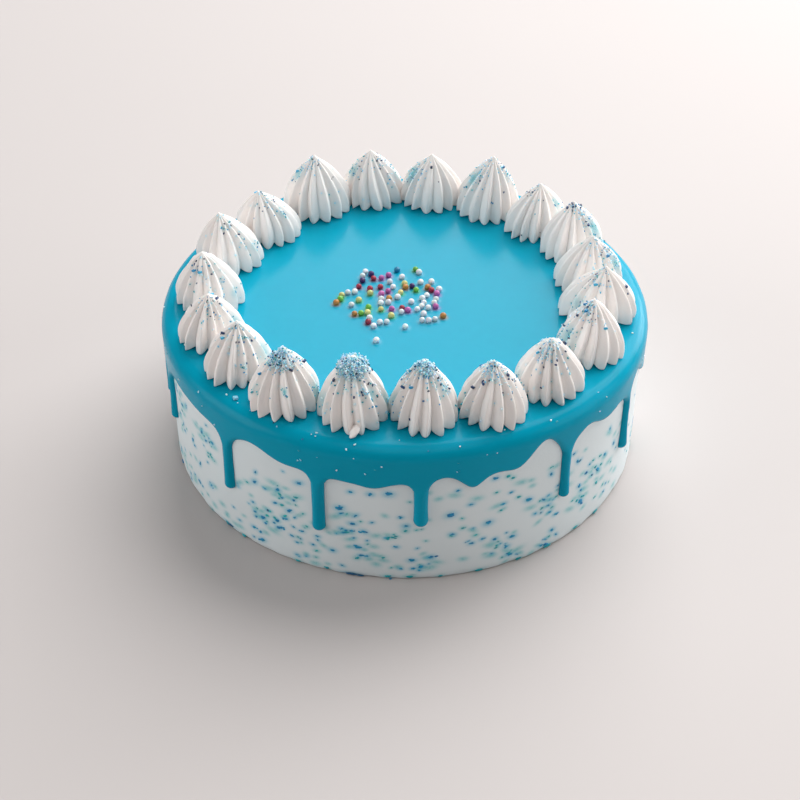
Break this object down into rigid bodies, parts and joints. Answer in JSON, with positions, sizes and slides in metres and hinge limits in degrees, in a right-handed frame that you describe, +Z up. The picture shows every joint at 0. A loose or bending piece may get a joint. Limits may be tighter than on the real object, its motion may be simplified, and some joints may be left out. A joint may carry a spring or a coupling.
{
  "type": "drip cake",
  "caption": "Round frosted drip cake with a glossy poured glaze, a ring of piped dollops and small sugar beads on top.",
  "frame": {"origin": "centre of the cake's round foot, on the surface it stands on", "axes": "+Z up along the cake's axis, -Y towards the side that the picture shows, +X to the right seen from there"},
  "size_m": [0.1834, 0.184, 0.0853],
  "materials": {
    "white_frosting": "smooth matt buttercream with blue sugar flecks worked into it",
    "blue_glaze": "glossy poured glaze",
    "piped_frosting": "satin piped cream with blue sugar crystals",
    "sugar_beads": "glossy round sugar pearls in white, pink, cherry, plum, orange, yellow, green and blue",
    "blue_sugar": "coarse sanding sugar in sky blue, teal and navy"
  },
  "bodies": {
    "root": {"cake_body": "white_frosting", "drip_glaze": "blue_glaze", "dollop_01": "piped_frosting", "dollop_02": "piped_frosting", "dollop_03": "piped_frosting", "dollop_04": "piped_frosting", "dollop_05": "piped_frosting", "dollop_06": "piped_frosting", "dollop_07": "piped_frosting", "dollop_08": "piped_frosting", "dollop_09": "piped_frosting", "dollop_10": "piped_frosting", "dollop_11": "piped_frosting", "dollop_12": "piped_frosting", "dollop_13": "piped_frosting", "dollop_14": "piped_frosting", "dollop_15": "piped_frosting", "dollop_16": "piped_frosting", "dollop_17": "piped_frosting", "dollop_18": "piped_frosting", "dollop_19": "piped_frosting"}
  },
  "joints": []
}
